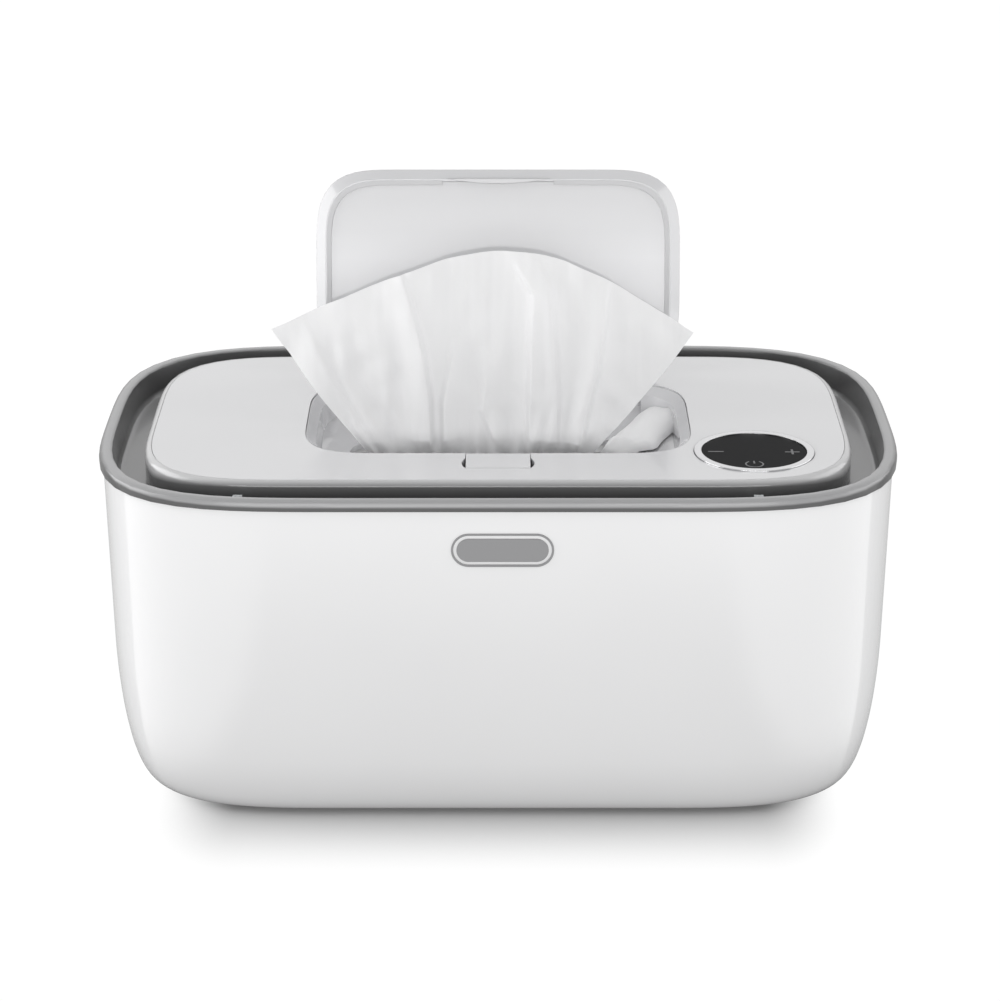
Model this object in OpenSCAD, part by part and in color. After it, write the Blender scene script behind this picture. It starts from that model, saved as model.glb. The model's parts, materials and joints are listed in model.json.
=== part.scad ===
/* [Body] */
// Width across the grey rim
rim_w = 245; // [235:1:265]
// Depth across the grey rim
rim_d = 151; // [146:1:165]
// Height of the rim's top above the table
body_h = 106; // [102:1:120]
// Reach of each rounded corner along the rim
corner_len = 75; // [68:1:80]
// Squareness of every corner, where 2 is a true quarter circle
corner_power = 3.4; // [2.8:0.1:3.8]
// Wall thickness of the white shell
shell_wall = 2; // [1.6:0.1:2.4]
// Inward lean of the shell for each millimetre of height
shell_draft = 0.02; // [0:0.005:0.03]
// Height of the curve that turns the shell in at the bottom
turn_h = 45; // [35:1:55]
// How far that curve turns the shell in
turn_w = 8; // [6:0.5:9]
// Gap between the table and the bottom edge of the shell
foot_gap = 1.8; // [1.2:0.1:3]

/* [Rim and moat] */
// Height of the rim band that shows outside the shell
band_h = 3.2; // [2.4:0.1:4]
// Width of the rim band's top
band_t = 4.1; // [3.8:0.1:5]
// How far the rim band stands out over the shell
rim_overhang = 1.1; // [0.8:0.1:1.3]
// Width of the moat between the rim and the lid
moat_w = 10.2; // [9.8:0.1:12]
// Depth of the moat below the rim's top
moat_depth = 9; // [8.6:0.1:10]
// Thickness of the moat floor
deck_t = 2; // [1.6:0.1:2.6]
// Distance of each clear bumper from the rim's end
bumper_in = 46; // [44:0.5:60]
// Width of a clear bumper
bumper_w = 2.8; // [2:0.1:4]

/* [Badge] */
// Length of the plain badge
badge_len = 27; // [20:0.5:32]
// Height of the plain badge
badge_dia = 7.2; // [6:0.1:8]
// White gap between the badge and its thin outline
badge_gap = 1; // [0.8:0.1:1.4]
// Width of the thin outline
badge_line = 0.6; // [0.4:0.1:0.8]
// Drop from the rim's top to the badge's middle
badge_drop = 15.6; // [14:0.1:20]
// Sideways offset of the badge
badge_x = 1.3; // [-4:0.1:4]

/* [Tank and heater] */
// Wall thickness of the wipe tank
tank_wall = 1.6; // [1.2:0.1:2]
// Floor thickness of the wipe tank
tank_floor = 1.8; // [1.4:0.1:2.4]
// Thickness of the tank's hanging flange
flange_t = 1.4; // [1.2:0.1:1.6]
// Thickness of the aluminium heat spreader
spreader_t = 1.5; // [1:0.1:2]
// Thickness of the heater film
film_t = 0.4; // [0.3:0.1:0.6]
// Thickness of the insulation pad
pad_t = 3.6; // [3.4:0.1:5]
// Thickness of the tray that clamps the heater
clamp_t = 1.4; // [1.2:0.1:2]
// Room for the electronics above the base plate
bay_h = 13.1; // [12.6:0.1:16]
// Distance of the clamp posts from the tank's ends
post_in = 5.7; // [5.6:0.1:7.2]
// Front to back distance of the clamp posts from the middle
post_y = 18; // [14:1:24]

/* [Base] */
// Thickness of the base plate
base_t = 2.4; // [2:0.1:3]
// Radius of a rubber foot
foot_r = 7; // [5:0.5:9]
// Distance of each foot's middle from the rim's end
foot_in = 42.5; // [38:0.5:52]
// Distance of each foot's middle from the rim's front or back
foot_edge = 35.5; // [33:0.5:41]
// Number of vent slots in each group
vents = 7; // [4:1:9]
// Radius of the screw bosses in the shell
boss_r = 4; // [3.5:0.1:4.5]
// Length of the control board
pcb_w = 78; // [74:1:90]
// Depth of the control board
pcb_d = 42; // [38:1:46]
// Sideways place of the power socket
jack_x = 62; // [58:1:66]
// Height of the power socket's axis
jack_z = 19.5; // [19:0.5:24]

/* [Main lid] */
// Rise of the lid's top over the rim's top
lid_rise = 0.8; // [0.4:0.1:1.2]
// Reach of each rounded corner of the lid
lid_corner = 51; // [46:1:56]
// Thickness of the lid's skirt
skirt_t = 2.2; // [1.8:0.1:2.6]
// Width of the border around the top panel
border_w = 2; // [1.6:0.1:2.4]
// Thickness of the top panel
panel_t = 2.4; // [2.2:0.1:2.8]
// Sideways distance from the middle to the middle of each hinge
hinge_x = 39; // [34:0.5:42]
// Length of each hinge, with its posts
hinge_len = 30; // [26:0.5:34]
// Radius of the lid's hinge knuckles
knuckle_r = 3.6; // [3.2:0.1:3.8]
// Radius of the lid's hinge pins
pin_r = 1.5; // [1.2:0.1:1.8]

/* [Dispensing well] */
// Distance from each end of the lid to the well
well_side = 48.7; // [47.5:0.1:52]
// Distance from the lid's front edge to the well
well_front = 25.6; // [25:0.1:28]
// Distance from the well to the lid's back edge
well_back = 29.4; // [29.2:0.1:32]
// Reach of each rounded corner of the well
well_corner = 27; // [22:0.5:29]
// Depth of the well's floor below the lid's top
well_depth = 8.6; // [8.2:0.1:9]
// Width of the sloping border of the well
bevel_w = 3.2; // [2.6:0.1:3.6]
// Distance from each end of the well to the slit that wipes come through
slit_end = 13.5; // [11.5:0.5:15.5]
// Width of that slit
slit_d = 8.4; // [8.2:0.1:10]
// Distance of the slit in front of the well's middle
slit_ahead = 8.1; // [7:0.1:9.4]

/* [Flip lid] */
// Opening angle of the flip lid as built
flip_open = 105; // [95:1:108]
// Distance of the flip lid's hinge axis behind the well
flip_behind = 4.8; // [4.4:0.1:5.2]
// Thickness of the flip lid's border
flip_t = 2.8; // [2.6:0.1:3]
// Radius of the flip lid's hinge barrels
barrel_r = 2.5; // [2.2:0.1:2.6]
// Radius of the flip lid's hinge pin
flip_pin_r = 1.2; // [1:0.1:1.4]
// Width of the crescent catch
catch_w = 34; // [28:0.5:38]
// Depth of the crescent catch at its middle
catch_d = 1.6; // [1.2:0.1:2]

/* [Controls] */
// Radius of the black touch lens
lens_r = 16; // [14:0.1:16.6]
// Width of the bright ring around the lens
bezel_w = 2.2; // [1.6:0.1:2.4]
// Distance from the well's end to the middle of the touch lens
lens_off = 18.1; // [17.4:0.1:19.5]
// Distance from the lid's front edge to the middle of the touch lens
lens_front = 27; // [26.2:0.1:31]
// Width of the latch button
button_w = 19.4; // [16:0.1:22]
// Depth of the latch button, front to back
button_d = 12.8; // [11:0.1:14]
// Travel of the latch button
button_travel = 1.5; // [1:0.1:1.6]

/* [Wipe] */
// Room beside the wipe at each end of the slit
neck_side = 7; // [6:0.5:11]
// Height of the wipe's top edge above the lid at its sides
wipe_side_h = 28; // [20:1:34]
// Extra height of the top edge at its middle
wipe_crown = 26; // [18:1:30]
// Sideways reach of the wipe's top edge from the middle
wipe_reach = 65; // [55:1:66]
// Depth of the gathers in the wipe
gather = 3; // [2:0.1:3.2]
// Thickness of the wipe as modelled
wipe_t = 1; // [0.8:0.1:1.2]

/* [Hidden] */
$fn = 48;

// Points on each corner curve, and the small excess that keeps cuts clean
corner_steps = 16;
cut = 1;

// Clearances: pins in their bores, pieces set into each other, and pieces that move apart
pin_fit = 0.04;
set_fit = 0.15;
move_fit = 0.3;

// Heights from the table up
shell_top = body_h - band_h;
deck_z = body_h - moat_depth;
lid_top = body_h + lid_rise;
base_top = foot_gap + base_t;
clamp_z = base_top + bay_h;
pad_z = clamp_z + clamp_t;
film_z = pad_z + pad_t;
spreader_z = film_z + film_t;
tank_z = spreader_z + spreader_t;
flange_z = deck_z + flange_t;

// Lid heights
skirt_z = flange_z + 0.2;
gasket_z = flange_z + move_fit;
liner_z = gasket_z + 1.5;
liner_t = 1.6;
panel_z = lid_top - panel_t;
ledge_t = 2;
well_floor_z = lid_top - well_depth;
tray_t = 1.8;
seal_t = 1.8;
plug_floor_z = well_floor_z - tray_t - seal_t - liner_t;

// Lid outline, in line with the rim's
lid_w = rim_w - 2 * (band_t + moat_w);
lid_d = rim_d - 2 * (band_t + moat_w);

// Well, slit and touch lens, placed from the lid's edges
well_w = lid_w - 2 * well_side;
well_d = lid_d - well_front - well_back;
well_y = (well_front - well_back) / 2;
slit_w = well_w - 2 * slit_end;
slit_y = well_y - slit_ahead;
lens_x = well_w / 2 + lens_off;
lens_y = lens_front - lid_d / 2;
wipe_neck = slit_w - 2 * neck_side;

// Insets from the lid's outline
flange_k = 4.6;
mouth_k = 8.6;
tank_k = mouth_k + 0.4;
plug_k = tank_k + tank_wall + 1.6;
plug_wall = 1.6;
lid_screw_k = 4;

// Places of the clamp posts, the feet and the bumpers
post_x = lid_w / 2 - tank_k - post_in;
foot_x = rim_w / 2 - foot_in;
foot_y = rim_d / 2 - foot_edge;
bumper_x = rim_w / 2 - bumper_in;

// Main hinge, set back in the moat behind the lid
hinge_y = lid_d / 2 + 5.3;
hinge_z = body_h - 3.5;
hinge_post_w = 5.7;
hinge_gap = 0.3;
wire_bore_r = 1.6;
pin_bore_r = 0.8;
wire_r = 0.6;

// Flip hinge, its pocket behind the well and its barrels
flip_y = well_y + well_d / 2 + flip_behind;
flip_z = lid_top - 3.6;
pocket_side = 12;
pocket_w = well_w - 2 * pocket_side;
pocket_wall = 1.5;
flip_post_w = 5.6;
barrel_gap = 0.4;
spring_len = 12;
spring_room = 8;
outer_post_x = pocket_w / 2 - pocket_wall - flip_post_w / 2;
inner_post_x = spring_len / 2 + spring_room + flip_post_w / 2;
barrel_x = (outer_post_x + inner_post_x) / 2;
barrel_len = outer_post_x - inner_post_x - flip_post_w - 2 * barrel_gap;
tail_t = 1.6;
tail_r = lid_top - flip_z + 0.5;
pocket_back = flip_y + tail_r + 0.4 + pocket_wall;
flip_k = 0.6;

// Room in front of the shut flip lid, and the front face of its crescent catch
latch_room = 0.9;
catch_in = 2.9;
catch_h = 2.2;
catch_front = well_y - well_d / 2 + latch_room + flip_k + catch_in;

// Latch button, just in front of the well
button_back = well_y - well_d / 2 - 0.3;
button_front = button_back - button_d;
button_y = (button_back + button_front) / 2;
button_lip = 1.2;
button_lip_z = panel_z - move_fit - button_lip;
nose_w = 6;
nose_t = 2.2;
guide_r = 3.2;
stem_r = 1.8;
guide_z = plug_floor_z + 6;

// Screws
screw_r = 1.5;
head_r = 2.8;
head_h = 1.6;
small_screw_r = 1;
small_head_r = 2;
small_head_h = 1.2;
base_hole_r = screw_r + 0.1;
seat_depth = 1.4;

// Control board and power socket
board_x = 30;
board_y = 12;
board_z = base_top + 4.3;
board_t = 1.6;
pillar_in = 4;
pillar_r = 3;
jack_w = 11;
jack_len = 12;
jack_back = rim_d / 2 - 7.9;
jack_front = jack_back - jack_len;
jack_hole_r = 4.2;
collar_r = 3.9;
cradle_len = 6;
fuse_x = -40;
fuse_len = 14;
sensor_x = 40;
sensor_len = 8;
fuse_hole_x = fuse_x - 10;
sensor_hole_x = sensor_x + 8;
lead_hole_r = 3;
lead_r = 1.1;

// Connectors on the board: plug corners, plug sizes and the height of a lead's end in its plug
part_z = board_z + board_t;
plug_h = 4;
plug_lead_z = part_z + 2;
jack_plug = [board_x + pcb_w / 2 - 22, board_y + pcb_d / 2 - 7.6];
fuse_plug = [board_x - pcb_w / 2 + 1, board_y - 1];
sensor_plug = [board_x, board_y - pcb_d / 2 + 1];
feed_plug = [board_x + pcb_w / 2 - 11, board_y + 4];

// Cable routes, from the power socket, the fuse, the sensor and the board up to the lid
jack_end = jack_plug + [4, 8];
function jack_at(f, x, z) = [x, jack_end[1] + f * (jack_front - jack_end[1]), z];
socket_route = [jack_at(1, jack_x, jack_z), jack_at(0.964, jack_x, jack_z),
    jack_at(0.9, jack_x, jack_z - 1.5), jack_at(0.829, jack_x, clamp_z - 2.5),
    jack_at(0.703, jack_x - 1, clamp_z - 3.9), jack_at(0.477, jack_x - 4, clamp_z - 4.3),
    jack_at(0.297, jack_x - 8, clamp_z - 4.3),
    jack_at(0.135, jack_end[0] + 0.6, plug_lead_z + 0.3), jack_at(0.054, jack_end[0], plug_lead_z),
    jack_at(0, jack_end[0], plug_lead_z)];
fuse_end = fuse_plug[0];
lead_z = film_z - 1.7;
fuse_route = [[fuse_x - 7, 0, lead_z], [fuse_x - 8, 0, lead_z], [fuse_x - 9.6, 0, lead_z - 0.6],
    [fuse_hole_x, 0, lead_z - 2.2], [fuse_hole_x, 0, clamp_z - 1.3], [fuse_hole_x + 2, 1, clamp_z - 3.3],
    [fuse_hole_x + 8, 3, clamp_z - 4.3], [fuse_end - 20, 9, clamp_z - 4.3],
    [fuse_end - 6, board_y + 2.4, plug_lead_z + 0.3], [fuse_end - 2.4, board_y + 3, plug_lead_z],
    [fuse_end, board_y + 3, plug_lead_z]];
sensor_end = sensor_plug + [4, 0];
sensor_route = [[sensor_x + 4, 0, lead_z], [sensor_x + 5, 0, lead_z], [sensor_x + 7.4, 0, lead_z - 0.6],
    [sensor_hole_x, 0, lead_z - 2.2], [sensor_hole_x, 0, clamp_z - 0.9],
    [sensor_hole_x - 1.4, 1, clamp_z - 2.5], [sensor_hole_x - 5, 2, clamp_z - 3.7],
    [sensor_end[0] + 4, 2, plug_lead_z + 0.3], [sensor_end[0] + 1, 1, plug_lead_z - 0.4],
    [sensor_end[0], sensor_end[1] + 6.6, plug_lead_z - 0.5],
    [sensor_end[0], sensor_end[1] + 4.6, plug_lead_z - 0.5]];

// Outlines
function corner_point(t) =
    let (c = cos(t), s = sin(t), p = corner_power)
    [c, s] * pow(pow(c, p) + pow(s, p), -1 / p);

function plan(w, d, corner, inset = 0) =
    let (a = w / 2 - inset, b = d / 2 - inset)
    let (r = max(1, min(corner - inset, a - 0.5, b - 0.5)))
    [for (q = [0:3]) for (i = [0:corner_steps])
        let (t = 90 * i / corner_steps, p = corner_point(q % 2 == 0 ? t : 90 - t))
        [(q == 0 || q == 3 ? 1 : -1) * (a - r + r * p[0]),
         (q < 2 ? 1 : -1) * (b - r + r * p[1])]];

function rim_plan(inset) = plan(rim_w, rim_d, corner_len, inset);
function lid_plan(inset) = plan(lid_w, lid_d, lid_corner, inset);
function well_plan(inset) = [for (p = plan(well_w, well_d, well_corner, inset)) p + [0, well_y]];
function flip_plan(inset) =
    [for (p = plan(well_w, well_d - latch_room, well_corner, inset)) p + [0, well_y + latch_room / 2]];

// Inset of the shell's outside at a height, with its draft and its turned-in foot
function turn_in(z) =
    z >= foot_gap + turn_h ? 0 :
    turn_w * (1 - sqrt(max(0, 1 - pow((turn_h - z + foot_gap) / turn_h, 2))));
function shell_inset(z) = rim_overhang + shell_draft * (shell_top - z) + turn_in(z);

// Middle of a corner boss, just inside the shell's lower edge
boss_inset = shell_inset(foot_gap) + shell_wall;
boss_corner = min(corner_len - boss_inset, rim_d / 2 - boss_inset - 0.5);
boss_pull = boss_corner * (1 - pow(2, -1 / corner_power)) + (boss_r - 0.6) * cos(45);
boss_x = rim_w / 2 - boss_inset - boss_pull;
boss_y = rim_d / 2 - boss_inset - boss_pull;
boss_h = bay_h - 1.5;
web_t = 2;

// Solid through a stack of outlines, each [points, height]; a closed one joins its ends
module skin(rings, closed = false) {
    n = len(rings[0][0]);
    m = len(rings);
    points = [for (r = rings) for (p = r[0]) [p[0], p[1], r[1]]];
    sides = [for (j = [0:closed ? m - 1 : m - 2]) for (i = [0:n - 1])
        let (a = j * n + i, b = j * n + (i + 1) % n)
        let (c = (j + 1) % m * n + i, d = (j + 1) % m * n + (i + 1) % n)
        each [[a, c, d], [a, d, b]]];
    caps = closed ? [] : [[for (i = [0:n - 1]) i], [for (i = [n - 1:-1:0]) (m - 1) * n + i]];
    polyhedron(points, concat(sides, caps));
}

// Flat plate of an outline between two heights
module slab(outline, z0, z1) {
    translate([0, 0, z0]) linear_extrude(z1 - z0) polygon(outline);
}

// Upright plate with round ends, its back face at y = 0
module pill(length, dia, depth) {
    run = length / 2 - dia / 2;
    rotate([90, 0, 0]) {
        for (side = [-1, 1]) translate([side * run, 0, 0]) cylinder(r = dia / 2, h = depth);
        translate([-run, -dia / 2, 0]) cube([2 * run, dia, depth]);
    }
}

// Flat hole or plate with round ends
module slot(length, width, z0, z1) {
    run = length / 2 - width / 2;
    for (side = [-1, 1]) translate([side * run, 0, z0]) cylinder(r = width / 2, h = z1 - z0);
    translate([-run, -width / 2, z0]) cube([2 * run, width, z1 - z0]);
}

// Rod along X
module rod(r, x0, x1) {
    translate([x0, 0, 0]) rotate([0, 90, 0]) cylinder(r = r, h = x1 - x0);
}

// Copies in all four quarters
module four(x, y) {
    for (sx = [-1, 1]) for (sy = [-1, 1]) translate([sx * x, sy * y, 0]) children();
}

// Pan-head screw, its head's underside at z = 0 and its shank pointing up
module screw(r, head_r, head_h, length) {
    translate([0, 0, -head_h]) cylinder(r = head_r, h = head_h);
    cylinder(r = r, h = length);
}

// Round cable along a route
function unit(v) = v / norm(v);
module cable(route, r, sides = 8) {
    last = len(route) - 1;
    tangents = [for (i = [0:last]) unit(route[min(i + 1, last)] - route[max(i - 1, 0)])];
    // The cross direction is carried along so that the tube never twists
    function carry(i, u) =
        let (v = unit(u - (u * tangents[i]) * tangents[i]))
        i == last ? [v] : concat([v], carry(i + 1, v));
    first = abs(tangents[0][2]) > 0.9 ? [1, 0, 0] : [0, 0, 1];
    across = carry(0, first);
    points = [for (i = [0:last]) for (k = [0:sides - 1])
        let (a = 360 * k / sides, w = cross(tangents[i], across[i]))
        route[i] + r * (cos(a) * across[i] + sin(a) * w)];
    quads = [for (i = [0:last - 1]) for (k = [0:sides - 1])
        let (a = i * sides + k, b = i * sides + (k + 1) % sides)
        each [[a, a + sides, b + sides], [a, b + sides, b]]];
    caps = [[for (k = [0:sides - 1]) k], [for (k = [sides - 1:-1:0]) last * sides + k]];
    polyhedron(points, concat(quads, caps));
}

// Coil spring along Z from z = 0
function coil_route(r, length, turns) =
    [for (i = [0:turns * 8]) let (a = 45 * i)
        [r * cos(a), r * sin(a), length * i / (turns * 8)]];
module coil(r, wire, length, turns) {
    cable([for (p = coil_route(r, length - 2 * wire, turns)) p + [0, 0, wire]], wire, 6);
}

// Base body

// White outer shell, open at the top and the bottom
shell_rings = [for (q = [0:10:90]) foot_gap + turn_h * (1 - cos(q))];
shell_levels = concat(shell_rings, [shell_top]);
module outer_shell() {
    color("white") {
        difference() {
            skin([for (z = shell_levels) [rim_plan(shell_inset(z)), z]]);
            skin(concat(
                [[rim_plan(boss_inset), foot_gap - cut]],
                [for (z = shell_levels) [rim_plan(shell_inset(z) + shell_wall), z]],
                [[rim_plan(rim_overhang + shell_wall), shell_top + cut]]));
            translate([jack_x, jack_back - 4, jack_z]) rotate([-90, 0, 0])
                cylinder(r = jack_hole_r, h = 16);
            badge_shape(set_fit, badge_cut);
        }
        // Screw bosses, each webbed to the wall
        difference() {
            intersection() {
                skin([for (z = shell_levels)
                    [rim_plan(shell_inset(z) + shell_wall / 2), z]]);
                for (sx = [-1, 1]) for (sy = [-1, 1]) translate([sx * boss_x, sy * boss_y, base_top]) {
                    cylinder(r = boss_r, h = boss_h);
                    rotate(atan2(sy, sx)) translate([0, -web_t / 2, 0])
                        cube([boss_pull + boss_r, web_t, boss_h - 1.5]);
                }
            }
            four(boss_x, boss_y) translate([0, 0, base_top - cut])
                cylinder(r = base_hole_r, h = boss_h - 0.5);
        }
    }
}

// Badge pill and its thin outline, standing on the floor of their shallow seats
badge_t = 1.2;
badge_cut = 3;
badge_seat = rim_d / 2 - rim_overhang - 1.1;
module badge_shape(grow, depth) {
    outline = badge_dia + 2 * badge_gap + 2 * badge_line;
    spread = badge_len - badge_dia;
    translate([badge_x, -badge_seat, body_h - badge_drop]) {
        pill(badge_len + 2 * grow, badge_dia + 2 * grow, depth);
        difference() {
            pill(spread + outline + 2 * grow, outline + 2 * grow, depth);
            translate([0, cut, 0]) pill(spread + outline - 2 * badge_line - 2 * grow,
                outline - 2 * badge_line - 2 * grow, depth + 2 * cut);
        }
    }
}

module badge_plate() {
    color("darkgray") badge_shape(0, badge_t);
}

// Grey rim, moat and deck in one piece, with the main hinge's posts
locate_k = rim_overhang + shell_wall + set_fit;
module rim_deck() {
    color("gray") difference() {
        union() {
            skin([
                [rim_plan(0), shell_top],
                [rim_plan(0), body_h - 1.5],
                [rim_plan(0.45), body_h - 0.5],
                [rim_plan(1.5), body_h],
                [rim_plan(band_t - 0.9), body_h],
                [rim_plan(band_t - 0.2), body_h - 0.4],
                [rim_plan(band_t), body_h - 1.2],
                [rim_plan(band_t + 1), deck_z + 2.2],
                [rim_plan(band_t + 1.9), deck_z + 0.6],
                [rim_plan(band_t + 3.4), deck_z],
                [lid_plan(mouth_k), deck_z],
                [lid_plan(mouth_k), deck_z - deck_t],
                [rim_plan(locate_k + 1), deck_z - deck_t],
                [rim_plan(locate_k + 0.35), deck_z - deck_t + 1],
                [rim_plan(locate_k), shell_top]
            ], closed = true);
            for (side = [-1, 1]) for (end = [-1, 1])
                translate([side * hinge_x + end * (hinge_len - hinge_post_w) / 2, hinge_y, 0])
                    hinge_post(hinge_post_w);
        }
        for (side = [-1, 1])
            translate([side * hinge_x, hinge_y, hinge_z])
                rod(pin_r + pin_fit, -hinge_len / 2 - cut, hinge_len / 2 + cut);
        // Way for the lid's cable up through the deck and into the hollow pin
        translate([wire_x, hinge_y, deck_z - deck_t - cut])
            cylinder(r = wire_bore_r, h = hinge_z - deck_z + deck_t + cut);
    }
}

wire_x = hinge_x + hinge_len / 2 - 2.2;
module hinge_post(width) {
    translate([-width / 2, -knuckle_r + 0.3, deck_z - 0.5])
        cube([width, 2 * knuckle_r - 0.6, hinge_z - deck_z + 0.5]);
    translate([0, 0, hinge_z]) rod(knuckle_r - 0.1, -width / 2, width / 2);
}

// Clear silicone bumpers, lying against the sloping front wall of the moat
module lid_bumpers() {
    color("lightcyan") intersection() {
        for (side = [-1, 1]) translate([side * bumper_x - bumper_w / 2, -rim_d / 2, deck_z])
            cube([bumper_w, band_t + moat_w / 2, moat_depth]);
        skin([
            [rim_plan(band_t + 2), deck_z + 0.6],
            [rim_plan(band_t + 1.1), deck_z + 2.2],
            [rim_plan(band_t + 0.1), body_h - 1.2]
        ]);
    }
}

// Tank that holds the wipes and hangs from the deck
module wipe_tank() {
    color("whitesmoke") {
        difference() {
            union() {
                slab(lid_plan(flange_k), deck_z, flange_z);
                slab(lid_plan(tank_k), tank_z, flange_z);
            }
            slab(lid_plan(tank_k + tank_wall), tank_z + tank_floor, flange_z + cut);
        }
        four(post_x, post_y) difference() {
            translate([0, 0, pad_z]) cylinder(r = post_r, h = tank_z - pad_z);
            translate([0, 0, pad_z - cut]) cylinder(r = screw_r + pin_fit, h = tank_z - pad_z);
        }
    }
}

// Heater pack under the tank: spreader, film and pad, clamped by a tray
post_r = 3.4;
pack_k = lid_w / 2 - post_x + post_r + 2.4;
module heat_spreader() {
    color("silver") slab(lid_plan(pack_k), spreader_z, tank_z);
}

module heater_film() {
    color("chocolate") slab(lid_plan(pack_k + 2), film_z, spreader_z);
}

bed_len = 28;
bed_w = 8;
module insulation_pad() {
    color("dimgray") difference() {
        slab(lid_plan(pack_k), pad_z, film_z);
        for (x = [fuse_x, sensor_x]) translate([x, 0, 0]) slot(bed_len, bed_w, pad_z - cut, film_z + cut);
    }
}

module heater_clamp() {
    color("gainsboro") difference() {
        slab(lid_plan(tank_k + 1.5), clamp_z, pad_z);
        four(post_x, post_y) translate([0, 0, clamp_z - cut])
            cylinder(r = base_hole_r, h = clamp_t + 2 * cut);
        for (x = [fuse_hole_x, sensor_hole_x]) translate([x, 0, clamp_z - cut])
            cylinder(r = lead_hole_r, h = clamp_t + 2 * cut);
    }
}

module clamp_screws() {
    color("silver") four(post_x, post_y) translate([0, 0, clamp_z])
        screw(screw_r, head_r, head_h, clamp_t + tank_z - pad_z - 1.5);
}

module thermistor() {
    color("black") translate([sensor_x, 0, film_z - 1.6]) rod(1.6, -sensor_len / 2, sensor_len / 2);
}

module thermal_fuse() {
    color("beige") translate([fuse_x, 0, film_z - 1.7]) rod(1.7, -fuse_len / 2, fuse_len / 2);
}

// Control board with its parts, on four pillars of the base plate
module control_board() {
    color("darkgreen") translate([board_x, board_y, board_z]) difference() {
        translate([-pcb_w / 2, -pcb_d / 2, 0]) cube([pcb_w, pcb_d, board_t]);
        four(pcb_w / 2 - pillar_in, pcb_d / 2 - pillar_in) translate([0, 0, -cut])
            cylinder(r = small_screw_r + 0.1, h = board_t + 2 * cut);
    }
}

capacitor_r = 4;
capacitor_h = 6;
module board_capacitor() {
    color("darkslateblue") translate([board_x - 3.5 * capacitor_r, board_y - 2.5 * capacitor_r, part_z])
        cylinder(r = capacitor_r, h = capacitor_h);
}

// Controller chip and two small drivers, each [x, y, size]
chips = [[-5, -4, [10, 8, 1.8]], [-20, 4, [5, 6, 2]], [12, 4, [6, 5, 1.6]]];
module board_chips() {
    color("black") translate([board_x, board_y, part_z])
        for (c = chips) translate([c[0], c[1], 0]) cube(c[2]);
}

plugs = [[jack_plug, [8, 8, plug_h]], [fuse_plug, [4.4, 8, plug_h]],
    [sensor_plug, [8, 4.6, 3]], [feed_plug, [6, 8, plug_h]]];
module board_connectors() {
    color("ivory") for (c = plugs) translate([c[0][0], c[0][1], part_z]) cube(c[1]);
}

module board_screws() {
    color("silver") translate([board_x, board_y, part_z])
        four(pcb_w / 2 - pillar_in, pcb_d / 2 - pillar_in) mirror([0, 0, 1])
            screw(small_screw_r, small_head_r, small_head_h, board_z - base_top + 0.7);
}

// Power socket on its cradle, its collar in the shell's hole
module power_socket() {
    color("dimgray") translate([jack_x, jack_back, jack_z]) difference() {
        union() {
            translate([-jack_w / 2, -jack_len, -jack_w / 2]) cube([jack_w, jack_len, jack_w]);
            rotate([-90, 0, 0]) cylinder(r = collar_r, h = 3);
        }
        difference() {
            translate([0, -6.5, 0]) rotate([-90, 0, 0]) cylinder(r = 2.8, h = 12);
            translate([0, -8, 0]) rotate([-90, 0, 0]) cylinder(r = 1, h = 9.5);
        }
    }
}

// Base plate with vents, board pillars, the socket's cradle and seats for the feet
vent_w = 2;
vent_len = 14;
vent_step = 5;
vent_x = rim_w / 2 - 77.5;
vent_y = 41.5 - rim_d / 2;
module base_plate() {
    color("gainsboro") {
        difference() {
            slab(rim_plan(boss_inset + 0.25), foot_gap, base_top);
            four(boss_x, boss_y) {
                translate([0, 0, foot_gap - cut]) cylinder(r = base_hole_r, h = base_t + 2 * cut);
                translate([0, 0, foot_gap - cut]) cylinder(r = head_r + 0.6, h = seat_depth + cut);
            }
            four(foot_x, foot_y) translate([0, 0, foot_gap - cut])
                cylinder(r = foot_r + 0.1, h = 1 + cut);
            for (side = [-1, 1]) for (i = [0:vents - 1])
                translate([side * vent_x + (i - (vents - 1) / 2) * vent_step, vent_y, foot_gap - cut])
                    cube([vent_w, vent_len, base_t + 2 * cut]);
        }
        translate([board_x, board_y, 0]) four(pcb_w / 2 - pillar_in, pcb_d / 2 - pillar_in) difference() {
            translate([0, 0, base_top]) cylinder(r = pillar_r, h = board_z - base_top);
            translate([0, 0, base_top + 0.6])
                cylinder(r = small_screw_r + pin_fit, h = board_z - base_top);
        }
        translate([jack_x - jack_w / 2, jack_front, base_top])
            cube([jack_w, cradle_len, jack_z - jack_w / 2 - base_top]);
    }
}

module base_screws() {
    color("silver") four(boss_x, boss_y) translate([0, 0, foot_gap + seat_depth])
        screw(screw_r, head_r, small_head_h, bay_h - 2.1);
}

module rubber_feet() {
    color("black") four(foot_x, foot_y) cylinder(r = foot_r, h = foot_gap + 1);
}

// Inside cables
module socket_lead() {
    color("black") cable(socket_route, lead_r);
}

module fuse_lead() {
    color("firebrick") cable(fuse_route, lead_r);
}

module sensor_lead() {
    color("gold") cable(sensor_route, lead_r);
}

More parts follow.
